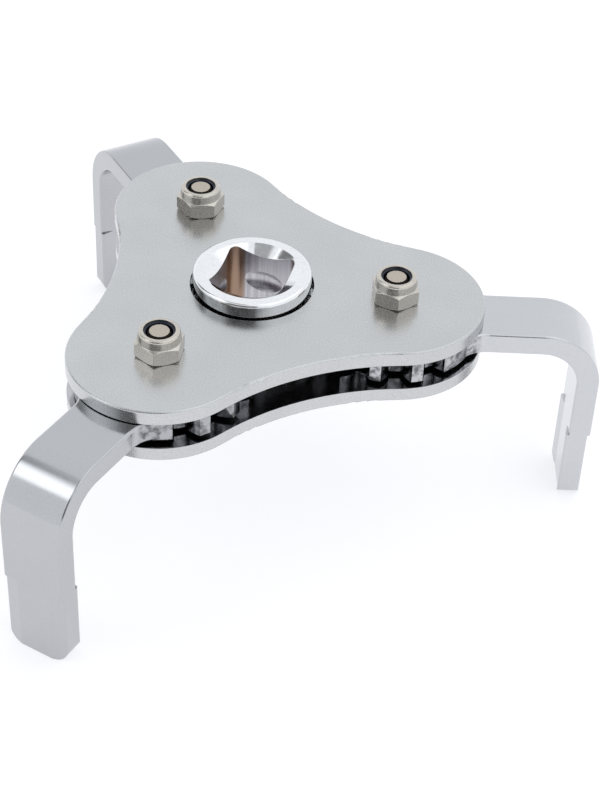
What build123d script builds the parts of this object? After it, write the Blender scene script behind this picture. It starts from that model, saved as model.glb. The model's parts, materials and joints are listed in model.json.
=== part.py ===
from build123d import *
import math
import os

# Three-jaw, two-way oil filter wrench.  Units are millimetres, +Z is up.
# The origin is on the drive axis, at the top of the drive socket's rim.
# The first jaw pivot lies on the +X side, and the jaws hang towards -Z.

# ------------------------------------------------------------------ sizes
# The square drive sets the size of the boss round it, the boss sets the size
# of the gear teeth, and the teeth set the distance to the jaw pivots.

# Drive gear with its square socket
drive_square = 12.85            # half-inch square drive, across the flats
square_corner_round = 1.6
corner_wall = 2.58              # metal from the square's corners to the outside
rim_height = 3.0                # boss above the top plate
foot_height = 0.2               # boss below the bottom plate
rim_round = 0.8                 # rounded outer edge of the boss
rim_band = 2.2                  # width of the flat rim, rounded edge included
mouth_depth = 1.5               # countersink depth at the middle of a flat
detent_height = 4.4             # ring groove for the detent ball, on a flat
detent_depth = 1.0

# Gear teeth.  The three jaws mesh with the drive gear.
drive_teeth = 12
jaw_teeth = 13
gear_shoulder = 1.96            # tips of the drive gear's teeth past the plates' holes
pressure_angle = 20.0
tooth_shift = 0.35              # longer teeth on the jaws, shorter on the gear
tooth_addendum = 0.70           # stub teeth, in modules
tooth_dedendum = 0.87
tooth_share = 0.25              # thicker flanks on the jaws' teeth, thinner on the gear's
flank_play = 0.15               # taken off each tooth flank

# Plates
plate_thickness = 2.8
plate_cover = 0.65              # rounded plate corners past the jaws' teeth
waist_radius = 50.0             # hollow plate side between two corners
plate_edge_round = 0.45         # rolled edge left by the blanking die, outside
plate_edge_break = 0.1          # sharp edge on the other face, inside

# Jaws
jaw_thickness = 4.2
jaw_width = 12.5
jaw_reach = 38.85               # pivot axis to the outside of the leg
jaw_height = 38.7               # top of the arm to the tip of the leg
bend_radius = 7.0               # inside of the bend
jaw_edge_round = 0.5
plain_side_drop = 0.6           # plain part of the jaw's disc, below the tooth tips
plain_side_angle = 48.0         # half of the plain part
arm_root_round = 6.0            # web between the disc and the arm
grip_height = 15.6              # pressed length at the tip of the leg
grip_bend = 0.6                 # how far the pressed side strips turn in
grip_strip = 3.0                # width of each pressed strip
tip_round = 2.8
tip_run_out = 0.02              # rounded corners start this far outside the leg's sides

# Pose of the jaws in this model: swing from the radial line, in degrees
rest_swing = 5.5

# Turns about Z, in degrees, of the square's flats and of each nut's corners
socket_turn = -12.8
nut_turns = {"right": -19.2, "rear": 14.1, "left": 26.1}

# Pivot bolts, M5, with prevailing-torque nuts
bolt_radius = 2.45
bolt_point = 0.65               # chamfer at the end of the bolt
bolt_end_drop = 0.25            # end of the bolt below the top of the nut
bolt_head_height = 3.5
sleeve_wall = 1.5
insert_wall = 0.85              # nylon ring, outside the bolt
collar_wall = 0.4               # nut's collar, outside the ring
hex_shoulder = 0.3              # flats of the hexagon past the collar
hex_chamfer_angle = 30.0
hex_face_inset = 0.16           # flats of the hexagon past its turned face
nut_height = 5.0
nut_hex_height = 3.2
collar_root = 0.3               # foot of the collar, below the top of the hexagon
collar_foot_inset = 0.05        # foot of the collar, inside the hexagon's flats
collar_round = 0.55
insert_seat = 2.9               # height of the insert's seat in the nut
lip_thickness = 0.45
lip_opening = 0.42              # opening of the curled lip, outside the bolt

# Named clearances
boss_play = 0.5                 # boss to plate hole, radial
bolt_play = 0.15                # bolt to plate hole, radial
sleeve_play = 0.05              # bolt to sleeve, radial
bore_play = 0.06                # sleeve to jaw bore, radial
gear_face_play = 0.1            # plate to drive gear's teeth, each side
boss_to_jaw_play = 0.1          # boss end to the jaw's teeth that pass under it
jaw_float = 0.9                 # jaw to bottom plate
pick_tolerance = 0.001          # for finding edges by their place

# ------------------------------------------------------------ derived sizes
half_square = drive_square / 2
square_corner = half_square * math.sqrt(2) - square_corner_round * (math.sqrt(2) - 1)
boss_radius = square_corner + corner_wall
mouth_radius = boss_radius - rim_band
drive_tip_radius = boss_radius + boss_play + gear_shoulder
gear_module = drive_tip_radius / (drive_teeth / 2 + tooth_addendum - tooth_shift)
pivot_circle_radius = gear_module * (drive_teeth + jaw_teeth) / 2
jaw_tip_radius = gear_module * (jaw_teeth / 2 + tooth_addendum + tooth_shift)
lobe_radius = jaw_tip_radius + plate_cover
disc_radius = jaw_tip_radius - plain_side_drop
plate_gap = gear_face_play + boss_to_jaw_play + jaw_thickness + jaw_float
sleeve_radius = bolt_radius + sleeve_play + sleeve_wall
insert_radius = bolt_radius + insert_wall
collar_radius = insert_radius + collar_wall
hex_across_flats = 2 * (collar_radius + hex_shoulder)

# ------------------------------------------------------------------ levels
top_plate_top = -rim_height
top_plate_bottom = top_plate_top - plate_thickness
bottom_plate_top = top_plate_bottom - plate_gap
bottom_plate_bottom = bottom_plate_top - plate_thickness
boss_bottom = bottom_plate_bottom - foot_height
jaw_top = top_plate_bottom - gear_face_play - boss_to_jaw_play
jaw_bottom = jaw_top - jaw_thickness
jaw_tip = jaw_top - jaw_height
nut_top = top_plate_top + nut_height

pivot_angles = {"right": 0.0, "rear": 120.0, "left": 240.0}
on_base = (Align.CENTER, Align.CENTER, Align.MIN)
below = (Align.CENTER, Align.CENTER, Align.MAX)


def polar(radius, degrees):
    """A point at a radius and an angle about the origin."""
    angle = math.radians(degrees)
    return (radius * math.cos(angle), radius * math.sin(angle))


# ------------------------------------------------------------------ plates
def plate_outline():
    """Three round corners joined by hollow sides, as one closed face."""
    # A hollow side's centre lies halfway between two corners, where its
    # circle touches both corner circles.
    reach = lobe_radius + waist_radius
    half_chord = pivot_circle_radius * math.sin(math.radians(60))
    along = pivot_circle_radius * math.cos(math.radians(60))
    centre_radius = along + math.sqrt(reach ** 2 - half_chord ** 2)

    def touch_point(corner, side):
        """Where a corner's circle meets the hollow side 60 degrees from it."""
        pivot = Vector(*polar(pivot_circle_radius, corner))
        centre = Vector(*polar(centre_radius, corner + side))
        return pivot + (centre - pivot).normalized() * lobe_radius

    edges = []
    for corner in pivot_angles.values():
        start = touch_point(corner, -60)
        crown = polar(pivot_circle_radius + lobe_radius, corner)
        end = touch_point(corner, 60)
        hollow = polar(centre_radius - waist_radius, corner + 60)
        following = touch_point(corner + 120, -60)
        edges.append(ThreePointArc(start, crown, end))
        edges.append(ThreePointArc(end, hollow, following))
    return make_face(edges)


def make_plate(bottom, outer_side):
    """One side plate, with its rolled edge on the outer_side, Axis.Z up or down."""
    plate = extrude(plate_outline(), amount=plate_thickness)
    faces = plate.faces().filter_by(Axis.Z).sort_by(outer_side)
    plate = fillet(faces[-1].edges(), plate_edge_round)
    inner_face = plate.faces().filter_by(Axis.Z).sort_by(outer_side)[0]
    plate = fillet(inner_face.edges(), plate_edge_break)
    plate -= Cylinder(boss_radius + boss_play, 4 * plate_thickness)
    for corner in pivot_angles.values():
        hole = Cylinder(bolt_radius + bolt_play, 4 * plate_thickness)
        plate -= Pos(*polar(pivot_circle_radius, corner), 0) * hole
    return Pos(0, 0, bottom) * plate


# ------------------------------------------------------------------- gears
def involute(angle):
    """Involute function of an angle in radians."""
    return math.tan(angle) - angle


def gear_radii(teeth, shift):
    """Pitch, root and tip radius of a gear."""
    pitch = gear_module * teeth / 2
    root = pitch - (tooth_dedendum - shift) * gear_module
    tip = pitch + (tooth_addendum + shift) * gear_module
    return pitch, root, tip


def gear_face(teeth, shift, share, first_tooth):
    """Closed outline of an external gear, with one tooth at first_tooth."""
    pitch, root, tip = gear_radii(teeth, shift)
    alpha = math.radians(pressure_angle)
    base = pitch * math.cos(alpha)
    thickness = gear_module * (math.pi / 2 + 2 * shift * math.tan(alpha))
    thickness += 2 * (share - flank_play)

    def half_angle(radius):
        """Half of a tooth's angle at a radius, in degrees."""
        contact = math.acos(min(1.0, base / radius))
        half = thickness / (2 * pitch) + involute(alpha) - involute(contact)
        return math.degrees(half)

    steps = 5
    radii = [root + (tip - root) * step / steps for step in range(steps + 1)]
    spacing = 360 / teeth
    edges = []
    for tooth in range(teeth):
        middle = first_tooth + tooth * spacing
        rising = [polar(r, middle - half_angle(r)) for r in radii]
        falling = [polar(r, middle + half_angle(r)) for r in reversed(radii)]
        next_root = polar(root, middle + spacing - half_angle(root))
        valley = polar(root, middle + spacing / 2)
        edges.append(Spline(*rising))
        edges.append(ThreePointArc(rising[-1], polar(tip, middle), falling[0]))
        edges.append(Spline(*falling))
        edges.append(ThreePointArc(falling[-1], valley, next_root))
    return make_face(edges)


def make_drive_gear():
    """Toothed wheel between two round bosses, with a through square socket."""
    tooth_top = top_plate_bottom - gear_face_play
    tooth_bottom = bottom_plate_top + gear_face_play
    # A tooth gap faces every jaw pivot.
    wheel = extrude(
        gear_face(drive_teeth, -tooth_shift, -tooth_share, 180 / drive_teeth),
        amount=tooth_top - tooth_bottom,
    )
    gear = Pos(0, 0, tooth_bottom) * wheel
    upper = Pos(0, 0, tooth_top) * Cylinder(boss_radius, -tooth_top, align=on_base)
    rim = upper.edges().filter_by(GeomType.CIRCLE).sort_by(Axis.Z)[-1]
    gear += fillet(rim, rim_round)
    gear += Pos(0, 0, boss_bottom) * Cylinder(
        boss_radius, tooth_bottom - boss_bottom, align=on_base
    )

    square = RectangleRounded(drive_square, drive_square, square_corner_round)
    gear -= Rot(0, 0, socket_turn) * extrude(square, amount=-2 * boss_bottom, both=True)
    # Countersink cones, mouth_depth deep at the middle of each flat.
    slope = (mouth_radius - half_square) / mouth_depth
    mouth = Cone(0, mouth_radius, mouth_radius / slope, align=below)
    gear -= mouth
    gear -= Pos(0, 0, boss_bottom) * Rot(180, 0, 0) * mouth
    # Ring groove: deepest at the middle of each flat, fading out to its sides.
    groove = Plane.XZ * make_face([
        ThreePointArc(
            (half_square, -detent_height / 2),
            (half_square + detent_depth, 0),
            (half_square, detent_height / 2),
        ),
        Polyline(
            (half_square, detent_height / 2),
            (half_square / 2, detent_height / 2),
            (half_square / 2, -detent_height / 2),
            (half_square, -detent_height / 2),
        ),
    ])
    gear -= Pos(0, 0, boss_bottom / 2) * revolve(groove, Axis.Z)
    return gear


# -------------------------------------------------------------------- jaws
def jaw_strip():
    """Arm, bend and upper leg: a flat bar bent down, seen from its side."""
    outer_bend = bend_radius + jaw_thickness
    inner_face = jaw_reach - jaw_thickness
    leg_end = jaw_tip + grip_height
    start = disc_radius / 2
    bend_x = jaw_reach - outer_bend
    edges = [
        Line((start, jaw_top), (bend_x, jaw_top)),
        RadiusArc((bend_x, jaw_top), (jaw_reach, jaw_top - outer_bend), outer_bend),
        Line((jaw_reach, jaw_top - outer_bend), (jaw_reach, leg_end)),
        Line((jaw_reach, leg_end), (inner_face, leg_end)),
        Line((inner_face, leg_end), (inner_face, jaw_bottom - bend_radius)),
        RadiusArc((inner_face, jaw_bottom - bend_radius), (bend_x, jaw_bottom), -bend_radius),
        Line((bend_x, jaw_bottom), (start, jaw_bottom)),
        Line((start, jaw_bottom), (start, jaw_top)),
    ]
    side = Plane.XZ * make_face(edges)
    strip = extrude(side, amount=jaw_width / 2, both=True)
    sides = strip.faces().filter_by(Axis.Y).edges()
    past_start = [e for e in sides if e.center().X > start + pick_tolerance]
    long_edges = [e for e in past_start if e.center().Z > leg_end + pick_tolerance]
    return fillet(long_edges, jaw_edge_round)


def jaw_grip():
    """Tip of the leg, pressed so that both side strips turn inwards."""
    half = jaw_width / 2
    flat = half - grip_strip
    outer = jaw_reach
    inner = jaw_reach - jaw_thickness
    section = make_face(Polyline(
        (outer, flat),
        (outer - grip_bend, half),
        (inner - grip_bend, half),
        (inner, flat),
        (inner, -flat),
        (inner - grip_bend, -half),
        (outer - grip_bend, -half),
        (outer, -flat),
        close=True,
    ))
    corners = [v for v in section.vertices() if abs(v.Y) > half - pick_tolerance]
    section = fillet(corners, jaw_edge_round)
    grip = extrude(Pos(0, 0, jaw_tip) * section, amount=grip_height)
    # The two lower corners are rounded as seen from the outside.
    blank = Rectangle(jaw_width + 2 * tip_run_out, 2 * grip_height)
    lower = [v for v in blank.vertices() if v.Y < 0]
    blank = fillet(lower, tip_round)
    window = extrude(
        Plane.YZ * Pos(0, jaw_tip + grip_height, 0) * blank,
        amount=2 * jaw_reach,
    )
    return grip & window


def jaw_disc():
    """Toothed disc round the pivot, plain beside the arm, as a flat face."""
    # At rest one tooth points at the drive axis.
    gear = gear_face(jaw_teeth, tooth_shift, tooth_share, 180 - rest_swing)
    # The plain part lies opposite the drive axis and ends in tooth gaps.
    left = polar(lobe_radius, plain_side_angle - rest_swing)
    right = polar(lobe_radius, -plain_side_angle - rest_swing)
    sector = make_face([
        Line((0, 0), right),
        ThreePointArc(right, polar(lobe_radius, -rest_swing), left),
        Line(left, (0, 0)),
    ])
    return gear - (sector - Circle(disc_radius)) + (sector & Circle(disc_radius))


def jaw_web():
    """Webs between disc and arm, with their edges rounded like the arm's."""
    # A wedge less a circle on each side, which touches both the disc and
    # the side of the arm.
    centre_y = jaw_width / 2 + arm_root_round
    centre_x = math.sqrt((disc_radius + arm_root_round) ** 2 - centre_y ** 2)
    wedge = make_face(Polyline((0, 0), (centre_x, centre_y), (centre_x, -centre_y), close=True))
    for side in (1, -1):
        wedge -= Pos(centre_x, side * centre_y) * Circle(arm_root_round)
    web = Pos(0, 0, jaw_bottom) * extrude(wedge, amount=jaw_thickness)
    return fillet(web.edges().filter_by(GeomType.CIRCLE), jaw_edge_round)


def make_jaw():
    """One jaw, with its pivot at the origin and its arm along +X."""
    disc = Pos(0, 0, jaw_bottom) * extrude(jaw_disc(), amount=jaw_thickness)
    bore = Cylinder(sleeve_radius + bore_play, -2 * jaw_tip)
    return disc + jaw_web() + jaw_strip() + jaw_grip() - bore


# --------------------------------------------------------------- fasteners
def hexagon_blank(height, chamfer_bottom, chamfer_top):
    """Hexagon prism from z = 0, with turned chamfers on its corners."""
    across_corners = hex_across_flats / math.cos(math.radians(30))
    prism = extrude(RegularPolygon(across_corners / 2, 6), amount=height)
    face_radius = hex_across_flats / 2 - hex_face_inset
    wide_radius = face_radius + height / math.tan(math.radians(hex_chamfer_angle))
    if chamfer_bottom:
        prism &= Cone(face_radius, wide_radius, height, align=on_base)
    if chamfer_top:
        prism &= Cone(wide_radius, face_radius, height, align=on_base)
    return prism


def make_bolt():
    """Pivot bolt: head under the bottom plate, end inside the lock nut."""
    end = nut_top - bolt_end_drop
    shank_length = end - bottom_plate_bottom
    shank = Pos(0, 0, bottom_plate_bottom) * Cylinder(bolt_radius, shank_length, align=on_base)
    tip = shank.edges().filter_by(GeomType.CIRCLE).sort_by(Axis.Z)[-1]
    shank = chamfer(tip, bolt_point)
    head = hexagon_blank(bolt_head_height, True, False)
    return shank + Pos(0, 0, bottom_plate_bottom - bolt_head_height) * head


def make_sleeve():
    """Spacer that holds the plates apart and carries the jaw."""
    sleeve = Cylinder(sleeve_radius, plate_gap, align=on_base)
    sleeve -= Cylinder(bolt_radius + sleeve_play, 4 * plate_gap)
    return Pos(0, 0, bottom_plate_top) * sleeve


def make_nut():
    """Lock nut: hexagon, collar and a curled lip over the insert."""
    foot = nut_hex_height - collar_root
    foot_radius = hex_across_flats / 2 - collar_foot_inset
    collar = Cone(foot_radius, collar_radius, nut_height - foot, align=on_base)
    crown = collar.edges().filter_by(GeomType.CIRCLE).sort_by(Axis.Z)[-1]
    collar = Pos(0, 0, foot) * fillet(crown, collar_round)
    nut = hexagon_blank(nut_hex_height, True, True) + collar
    nut -= Cylinder(bolt_radius + sleeve_play, 4 * nut_height)
    pocket_height = nut_height - lip_thickness - insert_seat
    nut -= Pos(0, 0, insert_seat) * Cylinder(insert_radius, pocket_height, align=on_base)
    lip_hole = Cylinder(bolt_radius + lip_opening, nut_height, align=on_base)
    nut -= Pos(0, 0, insert_seat) * lip_hole
    return Pos(0, 0, top_plate_top) * nut


def make_insert():
    """Nylon ring, held in the nut's pocket and tight on the bolt."""
    height = nut_height - lip_thickness - insert_seat
    ring = Cylinder(insert_radius, height, align=on_base)
    ring -= Cylinder(bolt_radius, 4 * height)
    return Pos(0, 0, top_plate_top + insert_seat) * ring


# ---------------------------------------------------------------- assembly
def at_pivot(shape, corner, turn=0.0):
    """A shape moved to a pivot, with its +X side turned from radial."""
    return Rot(0, 0, corner) * Pos(pivot_circle_radius, 0, 0) * Rot(0, 0, turn) * shape


def build():
    """All named pieces of the wrench."""
    nodes = {
        "top_plate": make_plate(top_plate_bottom, Axis.Z),
        "bottom_plate": make_plate(bottom_plate_bottom, -Axis.Z),
        "drive_gear": make_drive_gear(),
    }
    jaw = make_jaw()
    bolt = make_bolt()
    sleeve = make_sleeve()
    nut = make_nut()
    insert = make_insert()
    for place, corner in pivot_angles.items():
        nut_turn = nut_turns[place]
        nodes["jaw_" + place] = at_pivot(jaw, corner, rest_swing)
        nodes["pivot_bolt_" + place] = at_pivot(bolt, corner)
        nodes["pivot_sleeve_" + place] = at_pivot(sleeve, corner)
        nodes["lock_nut_" + place] = at_pivot(nut, corner, nut_turn)
        nodes["nylon_insert_" + place] = at_pivot(insert, corner)
    return nodes


if __name__ == "__main__":
    os.makedirs("parts", exist_ok=True)
    for name, shape in build().items():
        shape.label = name
        export_step(shape, "parts/" + name + ".step")
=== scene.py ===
import json
import math

import bpy
from mathutils import Matrix, Vector


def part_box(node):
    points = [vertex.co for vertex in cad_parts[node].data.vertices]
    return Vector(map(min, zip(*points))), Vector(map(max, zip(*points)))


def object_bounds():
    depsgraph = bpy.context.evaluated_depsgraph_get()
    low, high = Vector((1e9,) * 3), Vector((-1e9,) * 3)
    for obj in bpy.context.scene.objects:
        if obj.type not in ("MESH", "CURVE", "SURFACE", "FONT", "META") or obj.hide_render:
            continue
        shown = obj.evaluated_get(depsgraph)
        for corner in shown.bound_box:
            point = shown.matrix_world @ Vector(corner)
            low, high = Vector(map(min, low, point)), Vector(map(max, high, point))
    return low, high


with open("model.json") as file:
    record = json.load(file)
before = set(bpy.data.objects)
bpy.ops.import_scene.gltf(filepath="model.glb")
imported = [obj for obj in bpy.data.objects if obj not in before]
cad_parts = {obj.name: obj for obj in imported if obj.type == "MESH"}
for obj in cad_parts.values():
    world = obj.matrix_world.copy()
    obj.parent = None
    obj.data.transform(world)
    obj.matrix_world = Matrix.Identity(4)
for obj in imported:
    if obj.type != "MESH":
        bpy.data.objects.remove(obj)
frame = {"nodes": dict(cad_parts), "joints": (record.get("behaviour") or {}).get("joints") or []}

cad_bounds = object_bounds()

# ---------------------------------------------------------- camera settings
# Angles in degrees, lengths in metres.  Azimuth 0 looks along +Y.
CAMERA_AZIMUTH = 5.09
CAMERA_ELEVATION = 39.68
CAMERA_ROLL = 2.67
CAMERA_DISTANCE = 0.35858       # along the view, from the plane of the aim point
AIM_RIGHT = 0.008853            # picture centre from the drive axis, to the right
AIM_UP = -0.021574              # and up, across the view
CAMERA_LENS = 87.37             # lens and sensor in millimetres
SENSOR_WIDTH = 36.0
CAMERA_CLIP = (0.01, 20.0)

# ----------------------------------------------------------- floor settings
FLOOR_HALF = 3.0                # half of the floor's side
FLOOR_BASE = 0.45
FLOOR_GLOW = 0.66               # share of the floor's light that is its own
FLOOR_GLOW_TINT = (1.0, 1.0, 1.035)

# ----------------------------------------------------------- light settings
# The surround's brightness at the horizon and straight overhead, and its tint.
SKY_LEVEL = 1.03
SKY_TOP = 0.98
SKY_TINT = (0.97, 0.99, 1.02)
# Panels of the surround: the way they lie from the tool and half their width,
# their lower and upper elevation, their brightness and the softness of their
# edges.  Angles in degrees.
PANELS = (
    (10.0, 60.0, 44.0, 84.0, 1.25, 6.0),
    (258.0, 30.0, 15.0, 52.0, 0.17, 5.0),
    (212.0, 52.0, 66.0, 84.0, 0.42, 3.0),
    (163.0, 10.0, 20.0, 61.0, 0.22, 3.0),
    (193.0, 16.0, 42.0, 58.0, 2.2, 2.5),
)

# ---------------------------------------------------------- finish settings
PLACES = ("right", "rear", "left")
# Painted shade: each jaw's zinc colour is darkened by its own factor, the rear and left jaws
# most.
JAW_PAINTED_SHADES = {"right": 0.95, "rear": 0.79, "left": 0.80}
PIVOTS = {
    joint["name"].removesuffix("_jaw_swing"): tuple(joint["pos_m"])
    for joint in frame["joints"]
    if joint["name"].endswith("_jaw_swing")
}
EDGE_EASE = 0.00012             # radius that plated edges look eased to
GRAIN_BUMP = 0.3
EDGE_WEAR_AND_HIGHLIGHT_GAIN = 1.25                # worn edges with a painted highlight, over the light tone of the plating
FILM_ROUGHNESS = 0.14           # oil film inside the plates
SOCKET_ROUGHNESS = 0.3
BOLT_END_ROUGHNESS = 0.55
SOCKET_REACH = 0.0093           # the drive socket's corners, from the drive axis
STAINED_CORNER = 122.2          # way that the stained corner lies, in degrees
STAIN = 0.9
BOSS_SIDE = 0.0110              # the boss's radius
DARK_REFLECTION_SIDE = 238.0          # way that the half with the painted dark reflection faces, in degrees
# Strength of the painted dark reflection on the boss's side.
DARK_REFLECTION = 0.75
TEETH_REACH = 0.0165            # the jaws' toothed discs, from their pivots


def heading(degrees):
    """Level unit vector that points that way, from +X towards +Y."""
    return (math.cos(math.radians(degrees)), math.sin(math.radians(degrees)), 0.0)


# ------------------------------------------------------------------ camera
def camera_axes(azimuth, elevation, roll):
    """Right, up and back directions of a camera at those angles."""
    a = math.radians(azimuth)
    e = math.radians(elevation)
    back = Vector((math.sin(a) * math.cos(e), -math.cos(a) * math.cos(e), math.sin(e)))
    level_right = Vector((math.cos(a), math.sin(a), 0.0))
    level_up = back.cross(level_right)
    c = math.cos(math.radians(roll))
    s = math.sin(math.radians(roll))
    right = level_right * c + level_up * s
    up = level_up * c - level_right * s
    return right, up, back


def make_camera():
    """The camera, aimed near the drive socket at the top plate's level."""
    right, up, back = camera_axes(CAMERA_AZIMUTH, CAMERA_ELEVATION, CAMERA_ROLL)
    aim = Vector((0.0, 0.0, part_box("top_plate")[1][2]))
    place = aim + right * AIM_RIGHT + up * AIM_UP + back * CAMERA_DISTANCE
    data = bpy.data.cameras.new("photo_camera")
    data.lens = CAMERA_LENS
    data.sensor_width = SENSOR_WIDTH
    data.clip_start, data.clip_end = CAMERA_CLIP
    camera = bpy.data.objects.new("photo_camera", data)
    turn = Matrix((right, up, back)).transposed().to_4x4()
    camera.matrix_world = Matrix.Translation(place) @ turn
    bpy.context.scene.collection.objects.link(camera)
    bpy.context.scene.camera = camera


# ------------------------------------------------------------------- floor
def make_floor():
    """A plain pale floor under the tips of the jaws."""
    level = cad_bounds[0][2]
    mesh = bpy.data.meshes.new("floor")
    signs = ((-1, -1), (1, -1), (1, 1), (-1, 1))
    corners = [(x * FLOOR_HALF, y * FLOOR_HALF, level) for x, y in signs]
    mesh.from_pydata(corners, [], [(0, 1, 2, 3)])
    floor = bpy.data.objects.new("floor", mesh)
    bpy.context.scene.collection.objects.link(floor)
    material = bpy.data.materials.new("pale_floor")
    material.use_nodes = True
    shader = material.node_tree.nodes["Principled BSDF"]
    shader.inputs["Base Color"].default_value = (FLOOR_BASE, FLOOR_BASE, FLOOR_BASE, 1.0)
    shader.inputs["Roughness"].default_value = 0.9
    shader.inputs["Specular IOR Level"].default_value = 0.1
    shader.inputs["Emission Color"].default_value = (*FLOOR_GLOW_TINT, 1.0)
    shader.inputs["Emission Strength"].default_value = FLOOR_GLOW
    mesh.materials.append(material)


# ------------------------------------------------------------ node helpers
class Nodes:
    """Short helpers over one node tree."""

    def __init__(self, tree):
        self.tree = tree

    def add(self, kind, **inputs):
        node = self.tree.nodes.new("ShaderNode" + kind)
        for key, value in inputs.items():
            node.inputs[key.replace("_", " ")].default_value = value
        return node

    def link(self, output, target):
        self.tree.links.new(output, target)

    def feed(self, socket, value):
        """Sets a socket to a number, a tuple or another node's output."""
        if isinstance(value, (int, float, tuple)):
            socket.default_value = value
        else:
            self.link(value, socket)

    def math(self, kind, a, b=0.0):
        node = self.add("Math")
        node.operation = kind
        self.feed(node.inputs[0], a)
        self.feed(node.inputs[1], b)
        return node.outputs[0]

    def vector(self, kind, a, b=(0.0, 0.0, 0.0)):
        node = self.add("VectorMath")
        node.operation = kind
        self.feed(node.inputs[0], a)
        self.feed(node.inputs[1], b)
        is_number = kind in ("DOT_PRODUCT", "LENGTH")
        return node.outputs["Value" if is_number else "Vector"]

    def ramp(self, value, low, high, first=0.0, last=1.0, smooth=False):
        node = self.add("MapRange", From_Min=low, From_Max=high, To_Min=first, To_Max=last)
        if smooth:
            node.interpolation_type = "SMOOTHSTEP"
        self.link(value, node.inputs["Value"])
        return node.outputs["Result"]

    def split(self, vector):
        node = self.add("SeparateXYZ")
        self.link(vector, node.inputs[0])
        return node.outputs

    def mix(self, factor, first, second):
        node = self.add("Mix")
        node.data_type = "RGBA"
        first_socket, second_socket = [s for s in node.inputs if s.type == "RGBA"]
        self.feed(node.inputs[0], factor)
        for socket, value in ((first_socket, first), (second_socket, second)):
            self.feed(socket, (*value, 1.0) if isinstance(value, tuple) else value)
        return [s for s in node.outputs if s.type == "RGBA"][0]

    def blend(self, factor, first, second):
        """A number between two others."""
        change = self.math("SUBTRACT", second, first)
        return self.math("ADD", self.math("MULTIPLY", factor, change), first)


# -------------------------------------------------------------------- light
def panel(n, level, height, base, facing, half_width, low, high, value, soft):
    """Adds a soft-edged panel to the surround, between two elevations, in degrees."""
    across = n.vector("DOT_PRODUCT", level, heading(facing))
    outer = math.cos(math.radians(half_width + soft))
    inner = math.cos(math.radians(half_width - soft))
    mask = n.ramp(across, outer, inner, smooth=True)
    low_edge = [math.sin(math.radians(low + s)) for s in (-soft, soft)]
    mask = n.math("MULTIPLY", mask, n.ramp(height, *low_edge, smooth=True))
    high_edge = [math.sin(math.radians(high + s)) for s in (-soft, soft)]
    mask = n.math("MULTIPLY", mask, n.ramp(height, *high_edge, 1.0, 0.0, smooth=True))
    return n.blend(mask, base, value)


def make_light():
    """Soft studio light: a bright surround with brighter and darker panels."""
    world = bpy.data.worlds.new("studio")
    bpy.context.scene.world = world
    world.use_nodes = True
    n = Nodes(world.node_tree)
    direction = n.add("TexCoord").outputs["Generated"]
    height = n.split(direction)["Z"]
    level = n.vector("NORMALIZE", n.vector("MULTIPLY", direction, (1.0, 1.0, 0.0)))
    glow = n.ramp(height, 0.0, 1.0, SKY_LEVEL, SKY_TOP)
    for facing, half_width, low, high, value, soft in PANELS:
        glow = panel(n, level, height, glow, facing, half_width, low, high, value, soft)
    colour = n.add("CombineXYZ")
    for axis, tint in zip("XYZ", SKY_TINT):
        n.link(n.math("MULTIPLY", glow, tint), colour.inputs[axis])
    n.link(colour.outputs[0], world.node_tree.nodes["Background"].inputs["Color"])


# --------------------------------------------------------------- materials
class Material(Nodes):
    """Node helpers for one surface, with its shader."""

    def __init__(self, name):
        self.material = bpy.data.materials.new(name)
        self.material.use_nodes = True
        super().__init__(self.material.node_tree)
        self.shader = self.tree.nodes["Principled BSDF"]
        self.point = self.add("TexCoord").outputs["Object"]
        self.geometry = self.add("NewGeometry").outputs["Normal"]

    def noise(self, scale, detail=2.0, roughness=0.5, stretch=None):
        where = self.point
        if stretch:
            where = self.vector("MULTIPLY", where, stretch)
        node = self.add("TexNoise", Scale=scale, Detail=detail, Roughness=roughness)
        self.link(where, node.inputs["Vector"])
        return node.outputs["Fac"]

    def rounded(self, radius):
        """Normal of the surface with its edges eased to a radius."""
        node = self.add("Bevel", Radius=radius)
        node.samples = 6
        return node.outputs["Normal"]

    def edges(self, eased):
        """1 along edges, 0 on open faces."""
        away = self.math("SUBTRACT", 1.0, self.vector("DOT_PRODUCT", eased, self.geometry))
        return self.ramp(away, 0.02, 0.25)

    def off_axis(self):
        """The point, with its height left out."""
        return self.vector("MULTIPLY", self.point, (1.0, 1.0, 0.0))

    def upright(self, low, high):
        """1 on faces that stand upright, 0 on level ones."""
        tilt = self.math("ABSOLUTE", self.split(self.geometry)["Z"])
        return self.ramp(tilt, low, high, 1.0, 0.0)

    def bump(self, height, strength, distance, normal):
        node = self.add("Bump", Strength=strength, Distance=distance)
        self.link(height, node.inputs["Height"])
        self.link(normal, node.inputs["Normal"])
        return node.outputs["Normal"]

    def finish(self, colour, roughness, normal, metallic=1.0):
        self.link(colour, self.shader.inputs["Base Color"])
        self.link(roughness, self.shader.inputs["Roughness"])
        self.link(normal, self.shader.inputs["Normal"])
        self.shader.inputs["Metallic"].default_value = metallic
        return self.material


def plated(name, dark, light, rough, grain_size, grain_depth):
    """Plated steel: fine grain, faint cloudy patches, brighter edges that are partly wear and
    partly painted highlight.
    """
    m = Material(name)
    grain = m.noise(1.0 / grain_size, 3.0, 0.65)
    patches = m.noise(90.0, 2.0, 0.5)
    tone = m.math("ADD", m.math("MULTIPLY", grain, 0.75), m.math("MULTIPLY", patches, 0.25))
    colour = m.mix(m.ramp(tone, 0.35, 0.65), dark, light)
    eased = m.rounded(EDGE_EASE)
    # Brighter edges: wear and a painted highlight.
    edge_wear_and_highlight = m.math("MULTIPLY", m.edges(eased), m.ramp(grain, 0.35, 0.6, 0.2, 0.9))
    colour = m.mix(edge_wear_and_highlight, colour, tuple(min(1.0, c * EDGE_WEAR_AND_HIGHLIGHT_GAIN) for c in light))
    uneven = m.math("ADD", grain, m.math("MULTIPLY", patches, 0.4))
    roughness = m.ramp(uneven, 0.5, 0.9, *rough)
    return m, colour, roughness, m.bump(grain, GRAIN_BUMP, grain_depth, eased)


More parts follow.
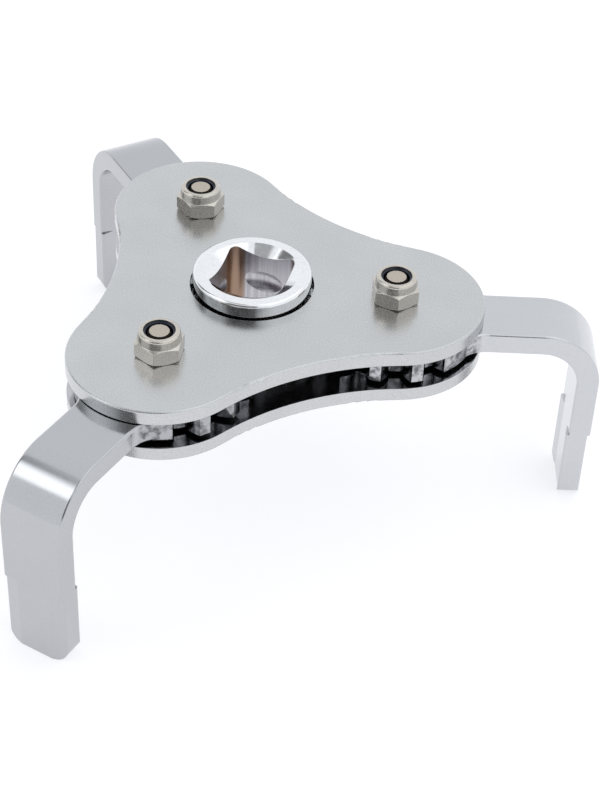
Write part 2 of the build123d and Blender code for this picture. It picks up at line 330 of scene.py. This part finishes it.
def inside_plates(m, colour, roughness, facing):
    """Painted shade on a plate's inner face, between the plates, with the gloss of an oil film;
    the face faces up (1) or down (-1).
    """
    turned = m.math("MULTIPLY", m.split(m.geometry)["Z"], facing)
    film_and_shade = m.ramp(turned, 0.5, 0.8)
    # Painted shade: the inner face's colour is darkened.
    dark = m.mix(m.noise(500.0, 3.0), (0.44, 0.44, 0.455), (0.62, 0.62, 0.64))
    return m.mix(film_and_shade, colour, dark), m.blend(film_and_shade, roughness, FILM_ROUGHNESS)


def inside_socket(m, colour, roughness):
    """Broached walls of the drive socket: duller, with lines along the axis."""
    away = m.off_axis()
    near = m.ramp(m.vector("LENGTH", away), SOCKET_REACH, SOCKET_REACH + 0.0001, 1.0, 0.0)
    wall = m.math("MULTIPLY", near, m.upright(0.74, 0.80))
    lines = m.ramp(m.noise(1800.0, 2.0, stretch=(1.0, 1.0, 0.02)), 0.35, 0.65)
    dull = m.mix(lines, (0.44, 0.43, 0.455), (0.58, 0.57, 0.60))
    # The wall on the -X side is darker, a painted shade fixed to the world's -X side, and a stain
    # runs down the corner beside it.
    painted_shade = m.ramp(m.split(m.geometry)["X"], 0.3, 0.8, 0.0, 0.6)
    dull = m.mix(painted_shade, dull, (0.10, 0.09, 0.09))
    along = m.vector("DOT_PRODUCT", m.vector("NORMALIZE", away), heading(STAINED_CORNER))
    stain = m.math("MULTIPLY", m.ramp(along, 0.955, 0.985, smooth=True), STAIN)
    dull = m.mix(stain, dull, (0.33, 0.21, 0.135))
    return m.mix(wall, colour, dull), m.blend(wall, roughness, SOCKET_ROUGHNESS)


def painted_dark_reflection(m, colour):
    """Painted dark reflection, mottled, round one half of the boss's side."""
    away = m.off_axis()
    along = m.vector("DOT_PRODUCT", m.vector("NORMALIZE", away), heading(DARK_REFLECTION_SIDE))
    dark_reflection = m.ramp(along, 0.45, 0.8, smooth=True)
    outside = m.ramp(m.vector("LENGTH", away), BOSS_SIDE - 0.0004, BOSS_SIDE - 0.0002)
    cloud = m.ramp(m.noise(900.0, 4.0, 0.6, (1.0, 1.0, 0.35)), 0.35, 0.65, 0.5, 1.0)
    for limit in (outside, m.upright(0.3, 0.6), cloud, DARK_REFLECTION):
        dark_reflection = m.math("MULTIPLY", dark_reflection, limit)
    return m.mix(dark_reflection, colour, (0.09, 0.097, 0.097))


def mottled_dark_teeth(m, colour, pivot):
    """Mottled dark patches on the sides of a jaw's teeth, round its pivot."""
    away = m.vector("SUBTRACT", m.off_axis(), (pivot[0], pivot[1], 0.0))
    near = m.ramp(m.vector("LENGTH", away), TEETH_REACH, TEETH_REACH + 0.001, 1.0, 0.0)
    teeth = m.math("MULTIPLY", near, m.upright(0.4, 0.7))
    blots = m.ramp(m.noise(700.0, 4.0, 0.6), 0.42, 0.62)
    dark_mottle = m.math("MULTIPLY", teeth, m.blend(blots, 0.15, 0.8))
    return m.mix(dark_mottle, colour, (0.06, 0.06, 0.065))


def bolt_end(m, colour, roughness):
    """Near-black painted shade on the bolt's turned point, and its rough pale end face."""
    above = m.ramp(m.split(m.point)["Z"], 0.0002, 0.0004)
    facing_up = m.split(m.geometry)["Z"]
    # Painted shade: the turned point is coloured near black.
    point = m.math("MULTIPLY", above, m.ramp(facing_up, 0.90, 0.97, 1.0, 0.0))
    face = m.math("MULTIPLY", above, m.ramp(facing_up, 0.90, 0.97))
    pale = m.mix(m.noise(4000.0, 3.0), (0.44, 0.40, 0.34), (0.66, 0.60, 0.53))
    colour = m.mix(face, m.mix(point, colour, (0.02, 0.018, 0.016)), pale)
    return colour, m.blend(face, roughness, BOLT_END_ROUGHNESS)


def set_material(node, material):
    """Gives a CAD node one material in every slot."""
    thing = frame["nodes"][node]
    if not thing.material_slots:
        thing.data.materials.append(material)
    for slot in thing.material_slots:
        slot.material = material


def paint_plates():
    """Zinc plates, with painted shade and a glossy oil film on their inner faces."""
    for plate, facing in (("top_plate", -1.0), ("bottom_plate", 1.0)):
        m, colour, roughness, normal = plated(
            plate + "_zinc",
            (0.52, 0.527, 0.528),
            (0.62, 0.627, 0.628),
            (0.22, 0.3), 0.0003, 0.000006,
        )
        colour, roughness = inside_plates(m, colour, roughness, facing)
        set_material(plate, m.finish(colour, roughness, normal))


def paint_jaws():
    """Smoother zinc on the jaws, each darkened by its own painted shade, with dark mottling on
    their teeth.
    """
    for place, painted_shade in JAW_PAINTED_SHADES.items():
        m, colour, roughness, normal = plated(
            "jaw_zinc_" + place,
            tuple(painted_shade * c for c in (0.59, 0.60, 0.615)),
            tuple(painted_shade * c for c in (0.64, 0.65, 0.665)),
            (0.10, 0.18), 0.0003, 0.000005,
        )
        colour = mottled_dark_teeth(m, colour, PIVOTS[place])
        set_material("jaw_" + place, m.finish(colour, roughness, normal))


def paint_drive():
    """Polished chrome, dull in the socket with painted shade on one socket wall, and a painted
    dark reflection on one side.
    """
    m, colour, roughness, normal = plated(
        "polished_chrome", (0.80, 0.81, 0.82), (0.90, 0.905, 0.91), (0.05, 0.12), 0.0006, 0.000003
    )
    colour, roughness = inside_socket(m, painted_dark_reflection(m, colour), roughness)
    set_material("drive_gear", m.finish(colour, roughness, normal))


def paint_fasteners():
    """Nickel nuts with nylon rings, on steel bolts and sleeves."""
    m, colour, roughness, normal = plated(
        "nut_nickel", (0.52, 0.49, 0.44), (0.66, 0.625, 0.57), (0.17, 0.28), 0.0003, 0.00001
    )
    nickel = m.finish(colour, roughness, normal)
    m, colour, roughness, normal = plated(
        "bolt_steel", (0.42, 0.38, 0.33), (0.60, 0.55, 0.49), (0.34, 0.5), 0.00025, 0.00003
    )
    colour, roughness = bolt_end(m, colour, roughness)
    steel = m.finish(colour, roughness, normal)
    m = Material("nylon")
    grain = m.noise(3000.0)
    colour = m.mix(m.ramp(grain, 0.3, 0.7), (0.006, 0.010, 0.022), (0.014, 0.022, 0.042))
    normal = m.bump(grain, 0.3, 0.00002, m.rounded(0.0001))
    nylon = m.finish(colour, m.ramp(grain, 0.3, 0.7, 0.35, 0.5), normal, metallic=0.0)
    for place in PLACES:
        set_material("lock_nut_" + place, nickel)
        set_material("nylon_insert_" + place, nylon)
        set_material("pivot_bolt_" + place, steel)
        set_material("pivot_sleeve_" + place, steel)


make_camera()
make_floor()
make_light()
paint_plates()
paint_jaws()
paint_drive()
paint_fasteners()
bpy.context.scene.view_settings.view_transform = "Standard"
